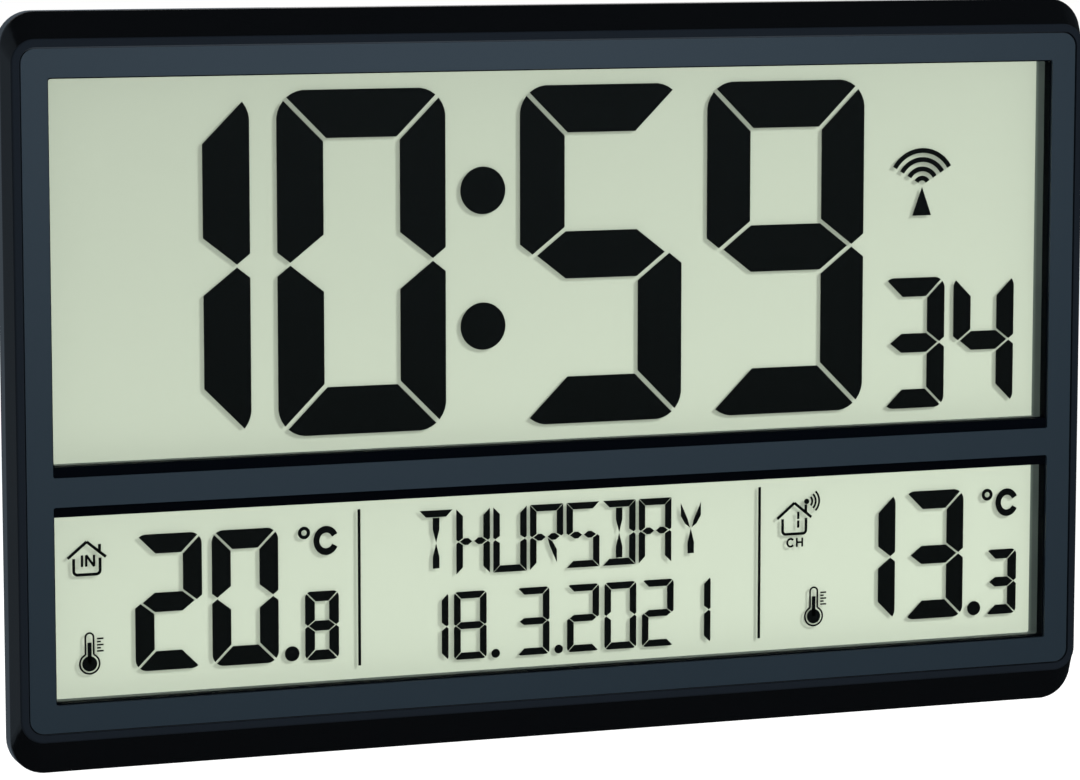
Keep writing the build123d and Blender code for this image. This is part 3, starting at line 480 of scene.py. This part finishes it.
# Figures of seven bars with the display's thin gaps, in place of the plainer solids, in millimetres.
# A size is width, height and stroke. Gaps are shares of the stroke: at the mitres, the tips and the middle
litBars = {
    "0": "abcdef", "1": "bc", "2": "abdeg", "3": "abcdg",
    "4": "bcfg", "5": "acdfg", "8": "abcdefg", "9": "abcdfg",
}
barShape = {"tip": 0.28, "slope": 0.78, "corner": 0.62, "cuts": 8}
wideGaps, fineGaps = (0.09, 0.04, 0.12), (0.068, 0.03, 0.105)
figureSets = {
    "timeFigures": {
        "node": "time_figures",
        "rows": [
            {"size": (55.7, 109.0, 15.2), "gaps": fineGaps, "z": 37.79,
             "figures": [("1", -131.5), ("0", -66.95), ("5", 13.87), ("9", 78.41)]},
            {"size": (22.2, 43.5, 6.31), "gaps": wideGaps, "z": 4.57,
             "figures": [("3", 124.99), ("4", 150.52)]},
        ],
        "dots": [((-26.54, 59.3), 7.6), ((-26.54, 15.89), 7.6)],
        "rules": [],
    },
    "climateFigures": {
        "node": "climate_figures",
        "rows": [
            {"size": (21.7, 43.25, 6.14), "gaps": wideGaps, "z": -66.9,
             "figures": [("2", -131.09), ("0", -106.14), ("1", 108.14), ("3", 133.16)]},
            {"size": (11.19, 22.1, 3.2), "gaps": wideGaps, "z": -77.6,
             "figures": [("8", -80.92), ("3", 158.31)]},
            {"size": (11.09, 22.1, 2.25), "gaps": wideGaps, "z": -80.65,
             "figures": [("1", -44.04), ("8", -31.05), ("3", -9.46), ("2", 7.76), ("0", 20.75),
                         ("2", 33.87), ("1", 46.95)]},
        ],
        "dots": [((-90.89, -86.12), 2.41), ((148.31, -86.12), 2.41),
                 ((-22.41, -90.42), 1.45), ((-0.71, -90.42), 1.45)],
        "rules": [((-68.44, -41.0), (-68.44, -91.36)), ((69.8, -41.0), (69.8, -91.36))],
    },
}
ruleWidth = 0.92


def flipParts(flips):
    return {
        key: [(x * flipX, z * flipZ) for x, z in points]
        for key, (points, flipX, flipZ) in flips.items()
    }


def figureParts(size, gaps):
    width, tall, stroke = size
    half, top = width / 2, tall / 2
    mitre, tipGap, inset = (share * stroke for share in gaps)
    slope = barShape["slope"]
    tip = half - stroke * barShape["tip"]
    notch = stroke * barShape["tip"] * slope + tipGap
    shoulder = stroke * (1 - barShape["tip"]) * slope + tipGap
    rise = stroke / 2
    end, run = tip - inset, rise / slope
    bar = [(mitre - half, top), (half - mitre, top), (half - stroke - mitre, top - stroke),
           (stroke + mitre - half, top - stroke)]
    post = [(half, top - mitre), (half, notch), (tip, tipGap), (half - stroke, shoulder),
            (half - stroke, top - stroke - mitre)]
    middle = [(-end, 0), (run - end, rise), (end - run, rise), (end, 0), (end - run, -rise),
              (run - end, -rise)]
    return flipParts({
        "a": (bar, 1, 1), "d": (bar, 1, -1), "b": (post, 1, 1), "c": (post, 1, -1), "e": (post, -1, -1),
        "f": (post, -1, 1), "g": (middle, 1, 1),
    })


def addFigure(bm, figure, centre, row):
    one = bmesh.new()
    width, tall, stroke = row["size"]
    parts = figureParts(row["size"], row["gaps"])
    for key in litBars[figure]:
        places = [((centre[0] + x) * mm, inkBack, (centre[1] + z) * mm) for x, z in parts[key]]
        one.faces.new([one.verts.new(place) for place in places])
    radius = stroke * barShape["corner"]
    reachX, reachZ = width / 2 - radius, tall / 2 - radius
    for sideX, sideZ in ((1, 1), (1, -1), (-1, 1), (-1, -1)):  # tangent cuts round off each corner
        middle = Vector((centre[0] + sideX * reachX, 0, centre[1] + sideZ * reachZ))
        for cut in range(1, barShape["cuts"]):
            angle = math.pi / 2 * cut / barShape["cuts"]
            outward = Vector((sideX * math.cos(angle), 0, sideZ * math.sin(angle)))
            bmesh.ops.bisect_plane(one, geom=one.verts[:] + one.edges[:] + one.faces[:], clear_outer=True,
                                   plane_co=(middle + outward * radius) * mm, plane_no=outward)
    thicken(one, one.faces[:])
    mesh = bpy.data.meshes.new("figure")
    one.to_mesh(mesh)
    one.free()
    bm.from_mesh(mesh)
    bpy.data.meshes.remove(mesh)


for name, shown in figureSets.items():
    bm = bmesh.new()
    for row in shown["rows"]:
        for figure, x in row["figures"]:
            addFigure(bm, figure, (x, row["z"]), row)
    for centre, radius in shown["dots"]:
        addDisc(bm, centre, radius)
    for start, end in shown["rules"]:
        addBar(bm, start, end, ruleWidth)
    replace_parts(finishMark(name, bm), shown["node"])
print("figures drawn")

# Signal mast with its waves, beside the time
radioMast = {
    "centre": (127.4, 56.9), "radii": (11.5, 8.5, 5.4, 2.35), "line": 1.6, "reach": 59,
    "mast": [(127.4, 56.3), (130.8, 46.9), (124.0, 46.9)],
}
bm = bmesh.new()
for radius in radioMast["radii"]:
    addArc(bm, radioMast["centre"], radius, radioMast["line"], -radioMast["reach"], radioMast["reach"])
addOutline(bm, radioMast["mast"])
finishMark("radioMast", bm)

# Houses: roof, walls with round lower corners, and a chimney or a sensor's mast
houses = {
    "indoorHouse": {"apex": (-157.2, -46.5), "mast": (-153.1, -47.4, -50.2)},
    "outdoorHouse": {"apex": (82.3, -46.9), "mast": (86.4, -47.6, -50.4)},
}
houseShape = {
    "eave": (6.1, -5.0), "wall": 4.2, "wallTop": -5.2, "bottom": -10.3, "corner": 1.2, "line": 0.92,
}


def addHouse(bm, place):
    x, z = place["apex"]
    line = houseShape["line"]
    wall, corner = houseShape["wall"], houseShape["corner"]
    low = z + houseShape["bottom"]
    for side in (-1, 1):
        addBar(bm, (x, z), (x + side * houseShape["eave"][0], z + houseShape["eave"][1]), line)
        addBar(bm, (x + side * wall, z + houseShape["wallTop"]), (x + side * wall, low + corner), line)
        turn = 135 - side * 45
        addArc(bm, (x + side * (wall - corner), low + corner), corner, line, turn, turn + 90)
    addBar(bm, (x - wall + corner, low), (x + wall - corner, low), line)
    mastX, top, bottom = place["mast"]
    addBar(bm, (mastX, top), (mastX, bottom), line)


for name, place in houses.items():
    bm = bmesh.new()
    addHouse(bm, place)
    finishMark(name, bm)

# Waves of the outdoor sensor
sensorWaves = {"dot": (86.7, -46.6), "dotRadius": 0.9, "radii": (2.0, 3.25, 4.5), "line": 0.66, "reach": 45}
bm = bmesh.new()
addDisc(bm, sensorWaves["dot"], sensorWaves["dotRadius"])
for radius in sensorWaves["radii"]:
    addArc(bm, sensorWaves["dot"], radius, sensorWaves["line"],
           90 - sensorWaves["reach"], 90 + sensorWaves["reach"])
finishMark("sensorWaves", bm)

# Small letters drawn as strokes: ends of each stroke, as shares of the letter's width and height.
# A row is the letter, its lower left corner, its width, its height and the line
letterStrokes = {
    "I": [[(0.5, 0), (0.5, 1)]],
    "N": [[(0, 0), (0, 1)], [(0, 1), (1, 0)], [(1, 0), (1, 1)]],
    "H": [[(0, 0), (0, 1)], [(1, 0), (1, 1)], [(0, 0.5), (1, 0.5)]],
}
roundMouth = (130, 410)
smallLetters = {
    "indoorLetters": [("I", (-158.9, -54.3), 0.3, 3.6, 0.75), ("N", (-157.4, -54.3), 2.5, 3.6, 0.75)],
    "channelLetters": [("C", (79.5, -61.7), 3.0, 3.2, 0.62), ("H", (83.25, -61.6), 1.95, 3.0, 0.62)],
}
for name, letters in smallLetters.items():
    bm = bmesh.new()
    for letter, (x, z), width, tall, line in letters:
        if letter == "C":
            addArc(bm, (x + width / 2, z + tall / 2), (width - line) / 2, line, *roundMouth,
                   (tall - line) / (width - line))
            continue
        for stroke in letterStrokes[letter]:
            addBar(bm, *[(x + shareX * width, z + shareZ * tall) for shareX, shareZ in stroke], line)
    finishMark(name, bm)

# Channel figure inside the outdoor house, a slim one of two bars
channelFigure = {"x": 83.7, "tops": (-49.9, -52.8), "tall": 2.4, "line": 0.8}
bm = bmesh.new()
for top in channelFigure["tops"]:
    addBar(bm, (channelFigure["x"], top), (channelFigure["x"], top - channelFigure["tall"]),
           channelFigure["line"])
finishMark("channelFigure", bm)

# Thermometers: a tube round a filled bulb and column, with a scale of long and short ticks
thermometers = {"indoorThermometer": (-156.7, -85.0), "outdoorThermometer": (89.5, -85.2)}
thermometerShape = {
    "bulb": 3.15, "tube": 1.3, "top": 8.4, "line": 0.55, "fill": 2.4, "column": 1.3, "columnTop": 6.7,
    "tick": 2.4, "ticks": 5, "tickLow": 3.9, "tickStep": 0.98, "long": 2.1, "short": 1.2, "tickLine": 0.5,
}


def addThermometer(bm, centre):
    x, z = centre
    shape = thermometerShape
    neck = math.degrees(math.asin(shape["tube"] / shape["bulb"]))
    neckRise = shape["bulb"] * math.cos(math.radians(neck))
    addArc(bm, centre, shape["bulb"], shape["line"], neck, 360 - neck)
    addArc(bm, (x, z + shape["top"]), shape["tube"], shape["line"], -90, 90)
    for side in (x - shape["tube"], x + shape["tube"]):
        addBar(bm, (side, z + neckRise), (side, z + shape["top"]), shape["line"])
    addDisc(bm, centre, shape["fill"])
    addBar(bm, (x, z), (x, z + shape["columnTop"]), shape["column"])
    for index in range(shape["ticks"]):
        tickZ = z + shape["tickLow"] + index * shape["tickStep"]
        reach = shape["short"] if index % 2 else shape["long"]
        addBar(bm, (x + shape["tick"], tickZ), (x + shape["tick"] + reach, tickZ), shape["tickLine"])


for name, centre in thermometers.items():
    bm = bmesh.new()
    addThermometer(bm, centre)
    finishMark(name, bm)

# Degree signs beside both temperatures: a ring and an open round letter
degreeSigns = {
    "indoorDegree": ((-86.7, -47.6), (-79.4, -50.4)),
    "outdoorDegree": ((152.8, -47.8), (160.15, -50.7)),
}
degreeShape = {"ring": 1.45, "ringLine": 1.1, "radius": 3.2, "line": 1.95, "squeeze": 1.12, "mouth": 27}
for name, (ring, letter) in degreeSigns.items():
    bm = bmesh.new()
    addArc(bm, ring, degreeShape["ring"], degreeShape["ringLine"], 0, 360)
    addArc(bm, letter, degreeShape["radius"], degreeShape["line"], 90 + degreeShape["mouth"],
           450 - degreeShape["mouth"], degreeShape["squeeze"])
    finishMark(name, bm)

# Weekday row of starburst letters
weekday = {
    "word": "THURSDAY", "centre": (1.4, -53.35), "pitch": 12.57, "width": 11.4, "tall": 21.3, "stroke": 2.2,
}
litParts = {
    "T": "ail", "H": "fbecgG", "U": "febcd", "R": "abfegGm",
    "S": "afgGcd", "D": "abcdil", "A": "abcefgG", "Y": "hkl",
}
# Shares of the stroke, but for the spine's taper and the slant, which are shares of the letter
starburstShape = {
    "gap": 0.06, "notch": 0.3, "lensRoot": 0.14, "lensNear": 0.78, "lensFar": 0.95, "lensTip": 0.24,
    "spineTaper": 0.42, "slant": [(0.07, 0.04), (0.35, 0.15), (0.62, 0.4), (0.62, 0.8), (0.19, 0.28)],
}


def starburstParts(width, tall, stroke):
    shape = starburstShape
    half, top, rise = width / 2, tall / 2, stroke / 2
    gap, notch = stroke * shape["gap"], stroke * shape["notch"]
    bar = [(gap - half, top), (half - gap, top), (half - stroke - gap, top - stroke),
           (stroke + gap - half, top - stroke)]
    post = [(half, top - gap), (half, notch), (half - notch, gap), (half - stroke, rise),
            (half - stroke, top - stroke - gap)]
    near, far = stroke * shape["lensNear"], half - notch - stroke * shape["lensFar"]
    lens = [(stroke * shape["lensRoot"], 0), (near, rise), (far, rise),
            (half - notch - stroke * shape["lensTip"], 0), (far, -rise), (near, -rise)]
    head, taper = top - stroke - gap * 2, top * shape["spineTaper"]
    spine = [(-rise, head), (rise, head), (rise, taper), (0, gap), (-rise, taper)]
    slant = [(x * half, z * top) for x, z in shape["slant"]]
    return flipParts({
        "a": (bar, 1, 1), "d": (bar, 1, -1), "b": (post, 1, 1), "c": (post, 1, -1), "e": (post, -1, -1),
        "f": (post, -1, 1), "g": (lens, -1, 1), "G": (lens, 1, 1), "i": (spine, 1, 1), "l": (spine, 1, -1),
        "h": (slant, -1, 1), "k": (slant, 1, 1), "m": (slant, 1, -1),
    })


parts = starburstParts(weekday["width"], weekday["tall"], weekday["stroke"])
bm = bmesh.new()
for index, letter in enumerate(weekday["word"]):
    shift = weekday["centre"][0] + (index - (len(weekday["word"]) - 1) / 2) * weekday["pitch"]
    for key in litParts[letter]:
        addOutline(bm, [(x + shift, z + weekday["centre"][1]) for x, z in parts[key]])
finishMark("weekday", bm)
print("display marks drawn")

# Printed legends under the keys on the back
legends = {
    "mode_key": "MODE", "set_key": "SET", "plus_key": "+", "minus_key": "-", "channel_key": "CH",
    "signal_key": "WAVE",
}
legendShape = {"size": 3.6, "drop": 7.2, "thickness": 0.03}
legendLook = {"grain": {"Color": colour(0.42, 0.42, 0.41), "Roughness": 0.6, "Bump": 0.05}}
legendInk = newFinish("legendInk", legendLook)
facingBack = Matrix.Rotation(math.pi, 4, "Z") @ Matrix.Rotation(math.pi / 2, 4, "X")


def addLegend(key, word):
    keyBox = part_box(key)
    text = bpy.data.curves.new("legendText", "FONT")
    text.body = word
    text.size = legendShape["size"] * mm
    text.align_x = text.align_y = "CENTER"
    text.extrude = legendShape["thickness"] * mm / 2
    holder = bpy.data.objects.new("legendText", text)
    mesh = bpy.data.meshes.new_from_object(holder)
    bpy.data.objects.remove(holder)
    place = Vector(((keyBox[0].x + keyBox[1].x) / 2, cadBox[1].y, keyBox[0].z - legendShape["drop"] * mm))
    mesh.transform(Matrix.Translation(place) @ facingBack)
    bm = bmesh.new()
    bm.from_mesh(mesh)
    bpy.data.meshes.remove(mesh)
    finishPiece(key + "Legend", bm, legendInk, "case")


for key, word in legends.items():
    addLegend(key, word)
print("legends printed")

# Studio: a pale floor well below the hanging clock, soft lamps, and cards that only the gloss sees
studio = {
    "floorDrop": 0.3, "floorSize": 8.0,
    "floorLook": {"Base Color": colour(0.33, 0.33, 0.33), "Roughness": 0.9, "Specular IOR Level": 0.0,
                  "Emission Color": colour(1, 1, 1)},
    "glowNear": 0.47, "glowFar": 1.0, "nearRadius": 0.7, "farRadius": 2.0,
    "ambient": 0.15, "cardTint": colour(0.8, 1.0, 1.2),
}
# A lamp casts no shadow of what it passes, and doesn't light what it spares
lamps = {
    "keyLamp": {"place": (1.15, -1.45, 1.15), "size": (0.5, 0.4), "watts": 29.6,
                "passes": ("front_bezel", "front_panel")},
    "frontLamp": {"place": (-0.75, -2.05, 0.28), "size": (0.5, 0.4), "watts": 31.1,
                  "passes": ("front_bezel", "front_panel")},
    "backLamp": {"place": (-1.2, 1.5, 1.0), "size": (0.9, 0.7), "watts": 60.0, "spares": ("front_bezel",)},
    "rakeLamp": {"place": (1.5, 0.8, 0.7), "size": (0.6, 0.5), "watts": 24.0, "spares": ("front_bezel",)},
}
cards = {
    "leftCard": {"place": (-1.9, 0.0, 0.0), "turn": (0, 90, 0), "size": (4.4, 4.6), "tone": 0.2},
    "rightCard": {"place": (2.1, 0.0, 0.0), "turn": (0, 90, 0), "size": (4.4, 4.6), "tone": 0.04},
    "topCard": {"place": (0.0, -0.6, 2.1), "turn": (0, 0, 0), "size": (4.4, 4.6), "tone": 0.02},
    "lowCard": {"place": (0.0, 0.0, -0.41), "turn": (0, 0, 0), "size": (7.0, 7.0), "tone": 0.02},
    "frontCard": {"place": (0.2, -3.2, 0.0), "turn": (90, 0, 0), "size": (5.0, 4.4), "tone": 0.06},
    "nearCard": {"place": (0.27, -0.95, 0.38), "turn": (90, 0, 0), "size": (0.6, 0.9), "tone": 1.3},
    "behindCard": {"place": (-1.2, 2.3, 0.0), "turn": (90, 0, 0), "size": (3.6, 4.4), "tone": 0.2},
    "backCard": {"place": (-1.3, 1.3, -0.4), "turn": (0, 0, 0), "size": (2.4, 2.2), "tone": 0.2},
}


def rayChoice(tree):
    path = addNode(tree, "ShaderNodeLightPath")
    first = addNode(tree, "ShaderNodeMath", operation="MAXIMUM")
    seen = addNode(tree, "ShaderNodeMath", operation="MAXIMUM")
    link(tree, path, "Is Camera Ray", first, 0)
    link(tree, path, "Is Glossy Ray", first, 1)
    link(tree, first, "Value", seen, 0)
    link(tree, path, "Is Transmission Ray", seen, 1)
    return seen


def buildWorld():
    world = bpy.data.worlds.new("studioWorld")
    world.use_nodes = True
    tree = world.node_tree
    tree.nodes.clear()
    seen = rayChoice(tree)
    soft = addNode(tree, "ShaderNodeBackground", {"Color": colour(1, 1, 1), "Strength": studio["ambient"]})
    white = addNode(tree, "ShaderNodeBackground", {"Color": colour(1, 1, 1), "Strength": 1.0})
    mix = addNode(tree, "ShaderNodeMixShader")
    leave = addNode(tree, "ShaderNodeOutputWorld")
    link(tree, seen, "Value", mix, "Fac")
    link(tree, soft, "Background", mix, 1)
    link(tree, white, "Background", mix, 2)
    link(tree, mix, "Shader", leave, "Surface")
    bpy.context.scene.world = world


def buildPlane(name, width, depth, material):
    bm = bmesh.new()
    bmesh.ops.create_grid(bm, x_segments=1, y_segments=1, size=0.5)
    bmesh.ops.scale(bm, vec=(width, depth, 1), verts=bm.verts[:])
    mesh = bpy.data.meshes.new(name)
    bm.to_mesh(mesh)
    bm.free()
    plane = bpy.data.objects.new(name, mesh)
    bpy.context.scene.collection.objects.link(plane)
    mesh.materials.append(material)
    return plane


def buildFloor():
    material = bpy.data.materials.new("paleFloor")
    material.use_nodes = True
    tree = material.node_tree
    shader = tree.nodes["Principled BSDF"]
    for label, value in studio["floorLook"].items():
        shader.inputs[label].default_value = value
    place = addNode(tree, "ShaderNodeTexCoord")
    reach = addNode(tree, "ShaderNodeVectorMath", operation="LENGTH")
    link(tree, place, "Object", reach, 0)
    level = addNode(tree, "ShaderNodeMapRange", {
        "From Min": studio["nearRadius"], "From Max": studio["farRadius"],
        "To Min": studio["glowNear"], "To Max": studio["glowFar"],
    })
    link(tree, reach, "Value", level, "Value")
    glow = addNode(tree, "ShaderNodeMath", operation="MULTIPLY")  # a shadow near by, white further out
    link(tree, rayChoice(tree), "Value", glow, 0)
    link(tree, level, "Result", glow, 1)
    link(tree, glow, "Value", shader, "Emission Strength")
    side = addNode(tree, "ShaderNodeNewGeometry")
    clear = addNode(tree, "ShaderNodeBsdfTransparent")
    mix = addNode(tree, "ShaderNodeMixShader")
    link(tree, side, "Backfacing", mix, "Fac")  # from below, the floor lets the view through
    link(tree, shader, "BSDF", mix, 1)
    link(tree, clear, "BSDF", mix, 2)
    link(tree, mix, "Shader", tree.nodes["Material Output"], "Surface")
    floor = buildPlane("floor", studio["floorSize"], studio["floorSize"], material)
    floor.location.z = cadBox[0].z - studio["floorDrop"]


def buildCard(name, card):
    material = bpy.data.materials.new(name)
    material.use_nodes = True
    tree = material.node_tree
    tree.nodes.clear()
    glow = addNode(tree, "ShaderNodeEmission", {"Color": studio["cardTint"], "Strength": card["tone"]})
    leave = addNode(tree, "ShaderNodeOutputMaterial")
    link(tree, glow, "Emission", leave, "Surface")
    plane = buildPlane(name, *card["size"], material)
    plane.location = card["place"]
    plane.rotation_euler = [math.radians(angle) for angle in card["turn"]]
    plane.visible_camera = False
    plane.visible_diffuse = False
    plane.visible_shadow = False
    plane.visible_transmission = False


def buildLamp(name, lamp):
    light = bpy.data.lights.new(name, "AREA")
    light.shape = "RECTANGLE"
    light.size, light.size_y = lamp["size"]
    light.energy = lamp["watts"]
    holder = bpy.data.objects.new(name, light)
    bpy.context.scene.collection.objects.link(holder)
    holder.location = lamp["place"]
    holder.rotation_euler = (-Vector(lamp["place"])).to_track_quat("-Z", "Y").to_euler()
    holder.visible_glossy = False
    for choice, target in (("passes", "blocker_collection"), ("spares", "receiver_collection")):
        if choice in lamp:
            chosen = bpy.data.collections.new(name + choice)
            for node in lamp[choice]:
                chosen.objects.link(frame["nodes"][node])
            setattr(holder.light_linking, target, chosen)
            for entry in chosen.collection_objects:
                entry.light_linking.link_state = "EXCLUDE"


buildWorld()
buildFloor()
for name, card in cards.items():
    buildCard(name, card)
for name, lamp in lamps.items():
    buildLamp(name, lamp)

# Camera at the photograph's station: left of the clock, a little above it, with a long lens
view = {"place": (-0.4762, -1.2905, 0.1627), "yaw": 20.289, "pitch": 7.088, "lens": 141.4, "sensor": 36.0}
camera = bpy.data.cameras.new("camera")
camera.sensor_width = view["sensor"]
camera.lens = view["lens"]
station = bpy.data.objects.new("camera", camera)
bpy.context.scene.collection.objects.link(station)
station.location = view["place"]
station.rotation_euler = (math.radians(90 - view["pitch"]), 0, math.radians(-view["yaw"]))
bpy.context.scene.camera = station
bpy.context.scene.view_settings.view_transform = "Standard"
print("studio and camera set")
